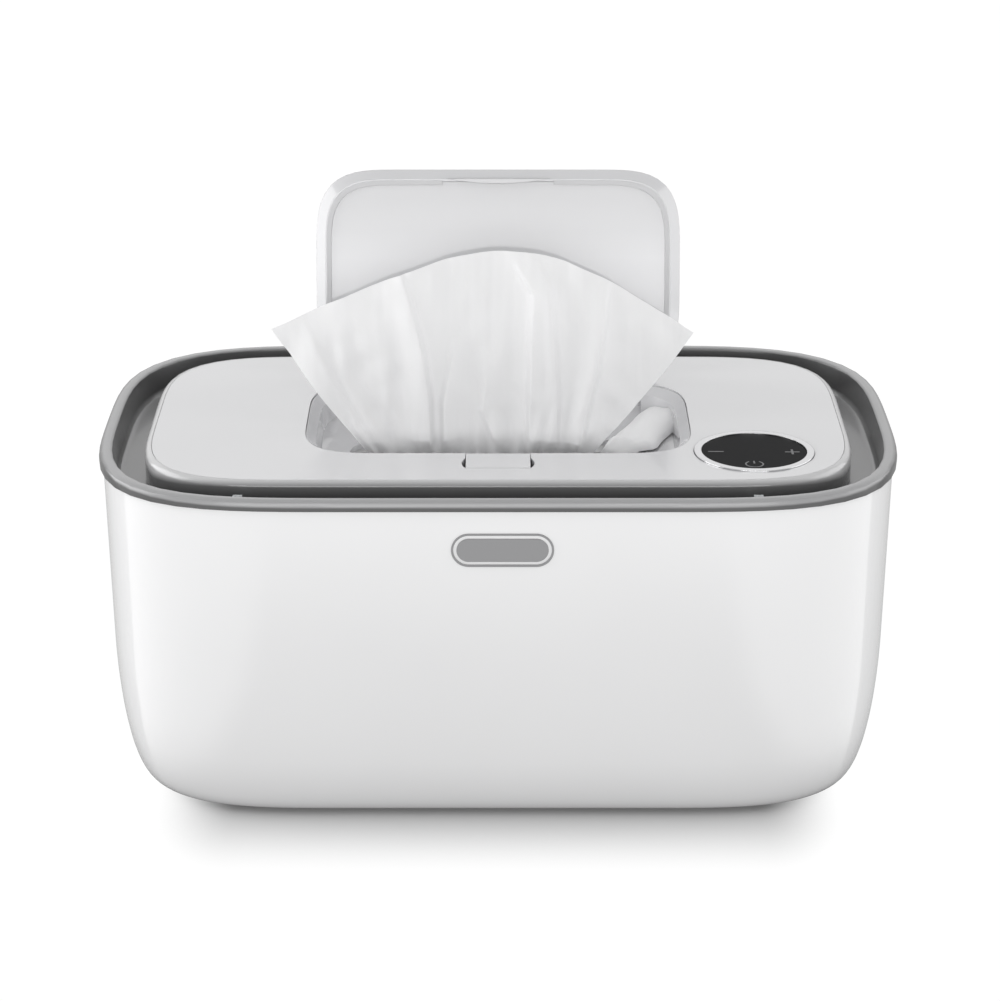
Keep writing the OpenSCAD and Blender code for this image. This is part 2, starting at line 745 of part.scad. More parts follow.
// From the board up behind the tank and into the hollow hinge pin
feed_x = feed_plug[0] + 3;
feed_y = feed_plug[1] + 4;
feed_route = [[feed_x, feed_y, part_z + plug_h], [feed_x, feed_y, part_z + plug_h + 0.8],
    [feed_x + 0.8, feed_y + 1, clamp_z - 1.7], [feed_x + 3, feed_y + 4, clamp_z - 1.5],
    [feed_x + 7, feed_y + 12, clamp_z - 1.9], [feed_x + 11, hinge_y - 22.5, clamp_z - 2.3],
    [feed_x + 13, hinge_y - 12.5, clamp_z - 1.9], [feed_x + 13, hinge_y - 7.5, clamp_z + 1.7],
    [feed_x + 12, hinge_y - 5.1, tank_z + 4], [wire_x + 8, hinge_y - 3.9, tank_z + 24],
    [wire_x + 1, hinge_y - 3.5, deck_z - 27], [wire_x, hinge_y - 2.5, deck_z - 8],
    [wire_x, hinge_y, deck_z - 3], [wire_x, hinge_y, deck_z + 1], [wire_x, hinge_y, hinge_z - 1.4],
    [wire_x - 0.3, hinge_y, hinge_z - 0.5], [wire_x - 1.2, hinge_y, hinge_z],
    [wire_x - 3, hinge_y, hinge_z], [hinge_x - hinge_len / 2, hinge_y, hinge_z]];
module lid_feed_lead() {
    color("dimgray") cable(feed_route, wire_r);
}

// Two steel pins, both hollow, the right one carrying the lid's cable
module lid_hinge_pins() {
    color("silver") for (side = [-1, 1]) translate([side * hinge_x, hinge_y, hinge_z]) {
        outer = hinge_len / 2 - (side > 0 ? 4 : 1);
        inner = hinge_len / 2;
        difference() {
            rod(pin_r, side > 0 ? -inner : -outer, side > 0 ? outer : inner);
            rod(pin_bore_r, -hinge_len, hinge_len);
        }
    }
}

// Main lid body

// Border, skirt and ledge of the lid, with its hinge knuckles
arm_t = 4.4;
lid_boss_r = 2.6;
module lid_frame() {
    ledge_z = panel_z - ledge_t;
    color("white") difference() {
        union() {
            skin([
                [lid_plan(0), skirt_z],
                [lid_plan(0), lid_top - 1.8],
                [lid_plan(0.3), lid_top - 0.9],
                [lid_plan(0.9), lid_top - 0.3],
                [lid_plan(1.7), lid_top],
                [lid_plan(border_w), lid_top],
                [lid_plan(border_w), panel_z],
                [lid_plan(border_w + 3), panel_z],
                [lid_plan(border_w + 3), ledge_z],
                [lid_plan(skirt_t), ledge_z],
                [lid_plan(skirt_t), skirt_z]
            ], closed = true);
            lid_screw_places() translate([0, 0, liner_z + liner_t])
                cylinder(r = lid_boss_r, h = panel_z - liner_z - liner_t);
            for (side = [-1, 1]) translate([side * hinge_x, hinge_y, hinge_z]) {
                half = hinge_len / 2 - hinge_post_w - hinge_gap;
                rod(knuckle_r, -half, half);
                translate([-half, lid_d / 2 - 1 - hinge_y, -arm_t / 2])
                    cube([2 * half, hinge_y - lid_d / 2 + 1, arm_t]);
            }
        }
        for (side = [-1, 1]) translate([side * hinge_x, hinge_y, hinge_z])
            rod(pin_r + pin_fit, -hinge_len / 2, hinge_len / 2);
        lid_screw_places() translate([0, 0, liner_z])
            cylinder(r = small_screw_r + pin_fit, h = panel_z - liner_z - 0.4);
        // Way in for the cable
        translate([wire_in_x, lid_d / 2 - 8, hinge_z + 0.6]) rotate([-90, 0, 0])
            cylinder(r = 2 * wire_r, h = 16);
    }
}

wire_in_x = 16;
lid_screw_x = 40;
module lid_screw_places() {
    for (sx = [-1, 1]) {
        for (sy = [-1, 1]) translate([sx * lid_screw_x, sy * (lid_d / 2 - lid_screw_k), 0]) children();
        translate([sx * (lid_w / 2 - lid_screw_k), 0, 0]) children();
    }
}

// Outline of the well with the hinge pocket behind it
module well_cut(inset, z0, z1, pocket_inset = 0) {
    slab(well_plan(inset), z0, z1);
    translate([-pocket_w / 2 + pocket_inset, well_y, z0])
        cube([pocket_w - 2 * pocket_inset, pocket_back - pocket_inset - well_y, z1 - z0]);
}

module lid_top_panel() {
    color("white") difference() {
        slab(lid_plan(border_w + 0.1), panel_z, lid_top);
        well_cut(0, panel_z - cut, lid_top + cut);
        button_hole(panel_z - cut, lid_top + cut);
        translate([lens_x, lens_y, panel_z - cut]) cylinder(r = lens_r - 1, h = panel_t + 2 * cut);
        translate([lens_x, lens_y, panel_z + 0.8])
            cylinder(r = lens_r + bezel_w + set_fit, h = panel_t);
    }
}

bay_w = 1.25;
bay_r = 9.3;
module button_hole(z0, z1) {
    translate([-button_w / 2 - 0.2, button_front - 0.2, z0])
        cube([button_w + 0.4, button_d + 2, z1 - z0]);
    // Finger-wide bays beside the button
    intersection() {
        for (side = [-1, 1]) translate([side * (button_w / 2 + bay_w - bay_r), button_y - 2, z0])
            cylinder(r = bay_r, h = z1 - z0);
        translate([-button_w, button_front - 0.2, z0]) cube([2 * button_w, button_d, z1 - z0]);
    }
}

// Width of the openings above and below the seal, and the seal's overlap at their ends
mouth_w = 22;
seal_lap = 7;

// Dispensing tray: a sloping border, steep walls and a floor with a long opening
module dispenser_tray() {
    color("white") difference() {
        union() {
            difference() {
                union() {
                    well_cut(-3, panel_z - 2, panel_z, -3);
                    well_cut(bevel_w - 0.6, well_floor_z - tray_t, panel_z - 1, 0.1);
                    slab(well_plan(set_fit), panel_z - 1, lid_top - 0.4);
                }
                skin([
                    [well_plan(bevel_w + 1.1), well_floor_z],
                    [well_plan(bevel_w), lid_top - flip_t],
                    [well_plan(0.4), lid_top - 0.4],
                    [well_plan(0.4), lid_top + cut]
                ]);
                translate([-pocket_w / 2 + pocket_wall, 0, well_floor_z])
                    cube([pocket_w - 2 * pocket_wall, pocket_back - pocket_wall, well_depth + cut]);
            }
            for (side = [-1, 1]) {
                flip_post(side * outer_post_x);
                flip_post(side * inner_post_x);
            }
        }
        translate([0, slit_y, 0])
            slot(slit_w, mouth_w, well_floor_z - tray_t - cut, well_floor_z + cut);
        translate([0, flip_y, flip_z]) rod(flip_pin_r + pin_fit, -pocket_w, pocket_w);
        // Bay for the button's lip, and the window its nose comes through
        translate([-button_w / 2 - 2 * button_lip - 0.2, button_front - 2.5 * button_lip, panel_z - 4])
            cube([button_w + 4 * button_lip + 0.4, button_d + 2.5 * button_lip + move_fit, 6]);
        translate([-nose_w / 2 - 1, button_back - 1, well_floor_z + 0.8])
            cube([nose_w + 2, 8, 2 * nose_t]);
    }
}

// Post whose foot fills only its front half, so that the lid's tail can swing down behind it
module flip_post(x) {
    translate([x, flip_y, flip_z]) {
        rod(barrel_r, -flip_post_w / 2, flip_post_w / 2);
        translate([-flip_post_w / 2, -barrel_r, well_floor_z - flip_z - 0.2])
            cube([flip_post_w, barrel_r, flip_z - well_floor_z + 0.2]);
    }
}

// Soft seal under the tray's opening, with the slit that grips the wipe
module dispenser_seal() {
    color("lightgray") translate([0, slit_y, 0]) difference() {
        slot(slit_w + 2 * seal_lap, mouth_w + 2 * seal_lap - 2,
            plug_floor_z + liner_t, plug_floor_z + liner_t + seal_t);
        slot(slit_w, slit_d, plug_floor_z, well_floor_z);
    }
}

// Lid liner: a flange screwed to the frame and a plug that dips into the tank
module lid_liner() {
    color("white") difference() {
        union() {
            difference() {
                union() {
                    slab(lid_plan(skirt_t + 0.2), liner_z, liner_z + liner_t);
                    slab(lid_plan(plug_k), plug_floor_z, liner_z + liner_t);
                }
                slab(lid_plan(plug_k + plug_wall), plug_floor_z + liner_t, liner_z + 2 * liner_t);
            }
            translate([0, button_y, plug_floor_z + 0.5])
                cylinder(r = guide_r, h = guide_z - plug_floor_z - 0.5);
        }
        // Room for the pressed button's lip
        translate([-button_w / 2 - button_lip - 0.5, button_front - button_lip - 0.5,
            button_lip_z - button_travel - move_fit]) cube([button_w + 2 * button_lip + 1, 4, 4]);
        translate([0, button_y, plug_floor_z + liner_t]) cylinder(r = stem_r + 0.06, h = 12);
        translate([0, slit_y, 0])
            slot(slit_w, mouth_w, plug_floor_z - cut, plug_floor_z + liner_t + cut);
        lid_screw_places() translate([0, 0, liner_z - cut])
            cylinder(r = small_screw_r + 0.1, h = liner_t + 2 * cut);
    }
}

module lid_gasket() {
    color("gray") difference() {
        slab(lid_plan(mouth_k - 2.2), gasket_z, liner_z);
        slab(lid_plan(mouth_k + 0.2), gasket_z - cut, liner_z + cut);
    }
}

module lid_screws() {
    color("silver") lid_screw_places() translate([0, 0, liner_z])
        screw(small_screw_r, 1.6, 1.2, panel_z - liner_z - 0.8);
}

// Touch controls
module touch_lens() {
    color("black") translate([lens_x, lens_y, panel_z + 0.8])
        cylinder(r = lens_r - 0.1, h = panel_t - 0.7);
}

module touch_bezel() {
    color("silver") translate([lens_x, lens_y, panel_z + 0.8]) difference() {
        cylinder(r = lens_r + bezel_w, h = panel_t - 0.4);
        translate([0, 0, -cut]) cylinder(r = lens_r, h = panel_t + 2 * cut);
    }
}

module touch_board() {
    color("darkgreen") translate([lens_x, lens_y, panel_z - board_t])
        cylinder(r = min(lens_r - 1, lid_w / 2 - lens_x - 6), h = board_t);
}

// From the hollow pin's inner end into the lid and round to the touch board
touch_route = [[hinge_x - hinge_len / 2 - 0.4, hinge_y, hinge_z],
    [hinge_x - hinge_len / 2 - 3, hinge_y, hinge_z],
    [hinge_x - hinge_len / 2 - 5.4, hinge_y - 0.8, hinge_z + 0.2],
    [wire_in_x + 0.5, hinge_y - 3.4, hinge_z + 0.5],
    [wire_in_x, lid_d / 2 - 1, hinge_z + 0.6], [wire_in_x + 0.2, lid_d / 2 - 6, hinge_z + 0.6],
    [wire_in_x + 2, lid_d / 2 - 9, hinge_z + 0.6],
    [wire_in_x + 8, lid_d / 2 - 10.2, hinge_z + 0.6], [lid_screw_x, lid_d / 2 - 11.2, hinge_z + 0.6],
    [well_w / 2 - 1.5, lid_d / 2 - 14.2, hinge_z + 0.6], [lens_x - 7.6, lid_d / 2 - 27.2, hinge_z + 0.6],
    [lens_x - 1.6, lid_d / 2 - 47.2, hinge_z + 0.6], [lens_x, lens_y + lens_r - 1, hinge_z + 0.9]];
module touch_lead() {
    color("dimgray") cable(touch_route, wire_r);
}

// Flip hinge pin and its torsion spring
module flip_hinge_pin() {
    reach = outer_post_x + flip_post_w / 2;
    color("silver") translate([0, flip_y, flip_z]) rod(flip_pin_r, -reach, reach);
}

module flip_spring() {
    color("silver") translate([-spring_len / 2, flip_y, flip_z]) rotate([0, 90, 0])
        coil(flip_pin_r + 0.6, 0.4, spring_len, 7);
}

module latch_spring() {
    color("silver") translate([0, button_y, guide_z])
        coil(2.5, 0.3, button_lip_z - guide_z - 0.05, 2.5);
}

// Flip lid body, modelled shut and turned open about its hinge
module opened() {
    translate([0, flip_y, flip_z]) rotate([-flip_open, 0, 0])
        translate([0, -flip_y, -flip_z]) children();
}

module flip_cover() {
    tail_w = 2 * outer_post_x + flip_post_w;
    tail_y = well_y + well_d / 2 - 6;
    color("white") opened() difference() {
        union() {
            difference() {
                skin([
                    [flip_plan(flip_k + bevel_w - 0.15), lid_top - flip_t],
                    [flip_plan(flip_k), lid_top - 0.3],
                    [flip_plan(flip_k + 0.3), lid_top]
                ]);
                slab(flip_plan(flip_k + bevel_w + 0.6), lid_top - flip_t - cut, lid_top - tail_t);
            }
            // Tail over the hinge, rounded about the axis at its end
            translate([-tail_w / 2, tail_y, lid_top - tail_t])
                cube([tail_w, flip_y - tail_y + 0.01, tail_t]);
            intersection() {
                translate([0, flip_y, flip_z]) rod(tail_r, -tail_w / 2, tail_w / 2);
                translate([-tail_w / 2, flip_y, lid_top - tail_t]) cube([tail_w, tail_r, tail_t]);
            }
            for (side = [-1, 1]) translate([side * barrel_x, flip_y, flip_z]) {
                rod(barrel_r, -barrel_len / 2, barrel_len / 2);
                translate([-barrel_len / 2, -barrel_r, 0])
                    cube([barrel_len, 2 * barrel_r, lid_top - tail_t - flip_z + 0.2]);
            }
        }
        translate([0, flip_y, flip_z]) {
            rod(flip_pin_r + pin_fit, -pocket_w, pocket_w);
            rod(barrel_r + 0.1, -spring_len / 2 - move_fit, spring_len / 2 + move_fit);
            for (side = [-1, 1]) for (x = [outer_post_x, inner_post_x])
                translate([side * x, 0, 0]) rod(barrel_r + move_fit,
                    -flip_post_w / 2 - move_fit, flip_post_w / 2 + move_fit);
        }
    }
}

// Inside panel of the flip lid with its crescent catch
module flip_liner() {
    liner_k = flip_k + bevel_w + 0.65;
    bow_r = (pow(catch_w / 2, 2) + pow(catch_d, 2)) / (2 * catch_d);
    color("whitesmoke") opened() {
        slab(flip_plan(liner_k), lid_top - flip_t, lid_top - tail_t);
        // Crescent, standing on the liner and just clear of the border
        intersection() {
            translate([0, catch_front + catch_d - bow_r, lid_top - flip_t - catch_h])
                cylinder(r = bow_r, h = catch_h + 0.5, $fn = 180);
            union() {
                translate([-catch_w, catch_front, lid_top - flip_t - catch_h])
                    cube([2 * catch_w, 8, catch_h - 0.02]);
                slab(flip_plan(liner_k), lid_top - flip_t - 0.5, lid_top - tail_t);
            }
        }
    }
}

seal_lip = 0.7;
module flip_seal() {
    ring_k = flip_k + bevel_w + 0.3;
    color("lightgray") opened() difference() {
        slab(flip_plan(ring_k), lid_top - flip_t - seal_lip, lid_top - flip_t);
        slab(flip_plan(ring_k + 1.5), lid_top - flip_t - seal_lip - cut, lid_top);
        translate([-catch_w / 2 - 1, -well_d, lid_top - flip_t - seal_lip - cut])
            cube([catch_w + 2, well_d, seal_lip + 2 * cut]);
    }
}

// Latch button body
module latch_button() {
    color("white") difference() {
        union() {
            translate([-button_w / 2, button_front, button_lip_z])
                cube([button_w, button_d, lid_top - button_lip_z]);
            translate([-button_w / 2 - button_lip, button_front - button_lip, button_lip_z])
                cube([button_w + 2 * button_lip, button_d + button_lip, button_lip]);
            translate([0, button_y, plug_floor_z + liner_t + button_travel + 0.5])
                cylinder(r = stem_r, h = button_lip_z - plug_floor_z - liner_t - button_travel);
            translate([-nose_w / 2, button_back - 2.5, button_lip_z - nose_t + 0.2])
                cube([nose_w, catch_front - move_fit - button_back + 2.5, nose_t]);
        }
        translate([-button_w / 2 + 1.6, button_front + 1.6, button_lip_z - cut])
            difference() {
                cube([button_w - 3.2, button_d - 4.4, lid_top - button_lip_z - 0.4]);
                translate([button_w / 2 - 1.6, button_y - button_front - 1.6, -cut])
                    cylinder(r = 3, h = 12);
            }
    }
}

// Wipe body: a gathered sheet that fans out over the slit
wipe_cols = 40;
wipe_rows = 12;
wipe_low = tank_z + tank_floor + 14;
wipe_neck_z = lid_top - 4;
wipe_lean = 10;
wipe_folds = 6;
wipe_mid = -2;
function wipe_point(u, v) =
    let (up = max(0, (v - 0.4) / 0.6), s = 2 * u - 1)
    let (side_x = wipe_mid * (1 - up) + (wipe_neck / 2 * (1 - up) + wipe_reach * up) * s)
    let (top_z = lid_top + wipe_side_h + wipe_crown * (1 - s * s))
    let (low_z = wipe_low + (wipe_neck_z - wipe_low) * min(1, v / 0.4))
    let (deep = gather * (1 - 0.3 * up))
    [side_x,
     slit_y + wipe_lean * up * up + deep * sin(360 * wipe_folds * u + 40 * sin(500 * u) * up),
     low_z + (top_z - wipe_neck_z) * up];

module wipe() {
    n = wipe_cols + 1;
    face = [for (j = [0:wipe_rows]) for (i = [0:wipe_cols]) wipe_point(i / wipe_cols, j / wipe_rows)];
    points = concat(
        [for (p = face) p - [0, wipe_t / 2, 0]],
        [for (p = face) p + [0, wipe_t / 2, 0]]);
    back = len(face);
    quads = [for (j = [0:wipe_rows - 1]) for (i = [0:wipe_cols - 1])
        let (a = j * n + i, b = a + 1, c = a + n, d = c + 1)
        each [[a, c, d], [a, d, b], [back + a, back + d, back + c], [back + a, back + b, back + d]]];
    ends = [for (i = [0:wipe_cols - 1]) for (j = [0, wipe_rows])
        let (a = j * n + i, b = a + 1)
        each j == 0 ? [[a, b, back + b], [a, back + b, back + a]]
                    : [[a, back + b, b], [a, back + a, back + b]]];
    edges = [for (j = [0:wipe_rows - 1]) for (i = [0, wipe_cols])
        let (a = j * n + i, c = a + n)
        each i == 0 ? [[a, back + c, c], [a, back + a, back + c]]
                    : [[a, c, back + c], [a, back + c, back + a]]];
    color("white") polyhedron(points, concat(quads, ends, edges));
}

outer_shell();
rim_deck();
badge_plate();
lid_bumpers();
wipe_tank();
heat_spreader();
heater_film();
insulation_pad();
heater_clamp();
clamp_screws();
thermistor();
thermal_fuse();
control_board();
board_capacitor();
board_chips();
board_connectors();
board_screws();
power_socket();
base_plate();
base_screws();
rubber_feet();
socket_lead();
fuse_lead();
sensor_lead();
lid_feed_lead();
lid_hinge_pins();
lid_frame();
lid_top_panel();
dispenser_tray();
dispenser_seal();
lid_liner();
lid_gasket();
lid_screws();
touch_lens();
touch_bezel();
touch_board();
touch_lead();
flip_hinge_pin();
flip_spring();
latch_spring();
flip_cover();
flip_liner();
flip_seal();
latch_button();
wipe();
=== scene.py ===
import json
import math

import bpy
import numpy as np
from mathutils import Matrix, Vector


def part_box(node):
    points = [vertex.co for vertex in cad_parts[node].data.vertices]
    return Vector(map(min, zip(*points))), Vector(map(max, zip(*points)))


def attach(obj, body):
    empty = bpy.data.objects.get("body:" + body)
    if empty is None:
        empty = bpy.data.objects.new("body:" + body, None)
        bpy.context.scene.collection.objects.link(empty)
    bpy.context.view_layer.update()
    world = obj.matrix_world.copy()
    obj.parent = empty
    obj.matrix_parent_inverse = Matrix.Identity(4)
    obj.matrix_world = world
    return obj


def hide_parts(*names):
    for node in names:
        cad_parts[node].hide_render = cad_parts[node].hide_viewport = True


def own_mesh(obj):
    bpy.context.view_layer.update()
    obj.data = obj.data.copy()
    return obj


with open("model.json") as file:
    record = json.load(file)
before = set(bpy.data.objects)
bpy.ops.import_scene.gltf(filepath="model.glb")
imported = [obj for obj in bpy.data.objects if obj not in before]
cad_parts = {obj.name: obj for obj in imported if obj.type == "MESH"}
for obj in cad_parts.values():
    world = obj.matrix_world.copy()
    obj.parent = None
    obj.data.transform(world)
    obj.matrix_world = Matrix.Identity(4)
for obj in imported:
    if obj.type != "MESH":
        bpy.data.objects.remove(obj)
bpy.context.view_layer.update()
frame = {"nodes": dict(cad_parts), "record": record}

nodes = frame["nodes"]
slots = {s["node"]: s["material_slot"] for s in frame["record"]["subparts"]}
MM = 0.001

# Rim seen from above, and the power of its corners
RIM_W, RIM_D, RIM_CORNER, POWER = 245.0, 151.0, 75.0, 3.4
# Outer shell: its top and foot, the height and width of the curve at its foot, its draft per
# millimetre down, its step back from the rim and its wall
SHELL_TOP, FOOT, TURN_H, TURN_W = 102.8, 1.8, 45.0, 8.0
DRAFT, OVERHANG, WALL = 0.02, 1.1, 2.0
# Socket hole: its centre, its radius, its corners and the depths where its punch starts and ends
JACK_X, JACK_Z, JACK_R = 62.0, 19.5, 4.2
JACK_SIDES, JACK_FROM, JACK_TO = 48, 60, 80


# Meshes

def rim_outline(inset, steps=40):
    """Rim's rounded rectangle, with superellipse corners and drawn in by the inset."""
    a, b = RIM_W / 2 - inset, RIM_D / 2 - inset
    r = max(1.0, min(RIM_CORNER - inset, a - 0.5, b - 0.5))
    pts = []
    for q in range(4):
        for i in range(steps + 1):
            t = math.radians(90.0 * i / steps)
            if q % 2:
                t = math.pi / 2 - t
            c, s = max(0.0, math.cos(t)), max(0.0, math.sin(t))
            k = (c ** POWER + s ** POWER) ** (-1 / POWER)
            sx = 1 if q in (0, 3) else -1
            sy = 1 if q < 2 else -1
            pts.append((sx * (a - r + r * c * k), sy * (b - r + r * s * k)))
    return pts


def mesh_object(name, verts, faces, smooth=True):
    mesh = bpy.data.meshes.new(name)
    mesh.from_pydata([tuple(v) for v in verts], [], faces)
    mesh.validate()
    obj = bpy.data.objects.new(name, mesh)
    bpy.context.scene.collection.objects.link(obj)
    for p in mesh.polygons:
        p.use_smooth = smooth
    return obj


def loft(name, rings):
    """Closed skin through a loop of rings, each given as (outline points, height)."""
    n, m = len(rings[0][0]), len(rings)
    verts = [(x * MM, y * MM, z * MM) for pts, z in rings for x, y in pts]
    faces = []
    for j in range(m):
        k = (j + 1) % m
        for i in range(n):
            e = (i + 1) % n
            faces.append((j * n + i, j * n + e, k * n + e, k * n + i))
    return mesh_object(name, verts, faces)


def soften(obj, limit=35.0, weld=2e-6, least_area=1e-14):
    """Smooth shading across edges flatter than the limit in degrees, weighted by face area,
    without moving a vertex. Corners within the weld distance in metres count as one."""
    mesh = obj.data
    co = np.empty(len(mesh.vertices) * 3)
    mesh.vertices.foreach_get("co", co)
    key = np.round(co.reshape(-1, 3) / weld).astype(np.int64)
    _, ids = np.unique(key, axis=0, return_inverse=True)
    ids = ids.ravel()
    normals = np.array([p.normal for p in mesh.polygons])
    areas = np.array([max(p.area, least_area) for p in mesh.polygons])
    around = {}
    for p in mesh.polygons:
        for v in p.vertices:
            around.setdefault(ids[v], []).append(p.index)
    cosine = math.cos(math.radians(limit))
    corners = []
    for p in mesh.polygons:
        for v in p.vertices:
            near = np.array(around[ids[v]])
            keep = near[normals[near] @ normals[p.index] > cosine]
            total = (normals[keep] * areas[keep, None]).sum(0)
            length = np.linalg.norm(total)
            corners.append(tuple(total / length) if length > 0 else tuple(normals[p.index]))
    for p in mesh.polygons:
        p.use_smooth = True
    mesh.normals_split_custom_set(corners)


# Materials

# Sockets of a Mix node that is set to colours
COLOR_A, COLOR_B, COLOR_OUT = 6, 7, 2
# Painted shade that leans forward starts at the first depth and is at its full slant at the second
SHADE_LEAN_FROM, SHADE_LEAN_TO = -45.0, -75.0


def add(tree, kind, inputs=None, **settings):
    """New node with its settings, each input set to a value or linked to another node's output."""
    node = tree.nodes.new(kind)
    for key, value in settings.items():
        setattr(node, key, value)
    for socket, value in (inputs or {}).items():
        if isinstance(value, bpy.types.NodeSocket):
            tree.links.new(value, node.inputs[socket])
        else:
            node.inputs[socket].default_value = value
    return node


def painted_shading_level(tree, here, painted_shading, shade_lean):
    """Painted light and shade at each height, read from a material's painted_shading list."""
    split = add(tree, "ShaderNodeSeparateXYZ", {0: here})
    low, high = painted_shading[0][0] * MM, painted_shading[-1][0] * MM
    ahead = add(tree, "ShaderNodeMapRange", {
        "Value": split.outputs["Y"], "From Min": SHADE_LEAN_TO * MM, "From Max": SHADE_LEAN_FROM * MM,
        "To Min": shade_lean * (SHADE_LEAN_TO - SHADE_LEAN_FROM) * MM, "To Max": 0.0})
    height = add(tree, "ShaderNodeMath", {0: split.outputs["Z"], 1: ahead.outputs["Result"]},
                 operation="ADD")
    span = add(tree, "ShaderNodeMapRange", {
        "Value": height.outputs[0], "From Min": low, "From Max": high})
    curve = add(tree, "ShaderNodeValToRGB", {"Fac": span.outputs["Result"]})
    stops = curve.color_ramp.elements
    while len(stops) < len(painted_shading):
        stops.new(0.5)
    for k, (z, level) in enumerate(painted_shading):
        stops[k].position = (z * MM - low) / (high - low)
        stops[k].color = (level, level, level, 1)
    return curve.outputs["Color"]


def material(name, color, rough, coat=0.0, coat_rough=0.03, metal=0.0, grain=600.0, bump=0.01,
             mottle=0.02, bevel=0.3, transmission=0.0, sheen=0.0, specular=0.5, painted_shading=None,
             shade_lean=0.0):
    """Solid colour broken by a faint mottle, a fine grain in the relief and in the gloss, and
    softened edges. The painted_shading list of (height, brightness) paints light and shade into the
    colour by height; shade_lean takes that much off the height per millimetre ahead of
    SHADE_LEAN_FROM."""
    mat = bpy.data.materials.new(name)
    mat.use_nodes = True
    tree = mat.node_tree
    here = add(tree, "ShaderNodeTexCoord").outputs["Object"]
    fine = add(tree, "ShaderNodeTexNoise", {"Vector": here, "Scale": grain, "Detail": 3.0})
    broad = add(tree, "ShaderNodeTexNoise", {"Vector": here, "Scale": 22.0, "Detail": 2.0})
    tone = add(tree, "ShaderNodeMix", data_type="RGBA", inputs={
        0: broad.outputs["Fac"],
        COLOR_A: (*[c * (1 - mottle) for c in color], 1),
        COLOR_B: (*[min(1.0, c * (1 + mottle)) for c in color], 1)}).outputs[COLOR_OUT]
    # Painted light and shade: the colour is multiplied by the painted shading level at each height
    if painted_shading:
        tone = add(tree, "ShaderNodeMix", data_type="RGBA", blend_type="MULTIPLY", inputs={
            0: 1.0, COLOR_A: tone,
            COLOR_B: painted_shading_level(tree, here, painted_shading, shade_lean)}).outputs[COLOR_OUT]
    gloss = add(tree, "ShaderNodeMapRange", {
        "Value": fine.outputs["Fac"], "To Min": rough * 0.9, "To Max": min(1.0, rough * 1.1)})
    relief = add(tree, "ShaderNodeBump", {
        "Distance": bump * MM, "Strength": 0.5, "Height": fine.outputs["Fac"]})
    bsdf = tree.nodes["Principled BSDF"]
    if bevel > 0:
        edge = add(tree, "ShaderNodeBevel", {"Radius": bevel * MM}, samples=4)
        tree.links.new(edge.outputs["Normal"], relief.inputs["Normal"])
        tree.links.new(edge.outputs["Normal"], bsdf.inputs["Coat Normal"])
    tree.links.new(tone, bsdf.inputs["Base Color"])
    tree.links.new(gloss.outputs["Result"], bsdf.inputs["Roughness"])
    tree.links.new(relief.outputs["Normal"], bsdf.inputs["Normal"])
    bsdf.inputs["Metallic"].default_value = metal
    bsdf.inputs["Coat Weight"].default_value = coat
    bsdf.inputs["Coat Roughness"].default_value = coat_rough
    bsdf.inputs["Specular IOR Level"].default_value = specular
    bsdf.inputs["Transmission Weight"].default_value = transmission
    bsdf.inputs["Sheen Weight"].default_value = sheen
    return mat


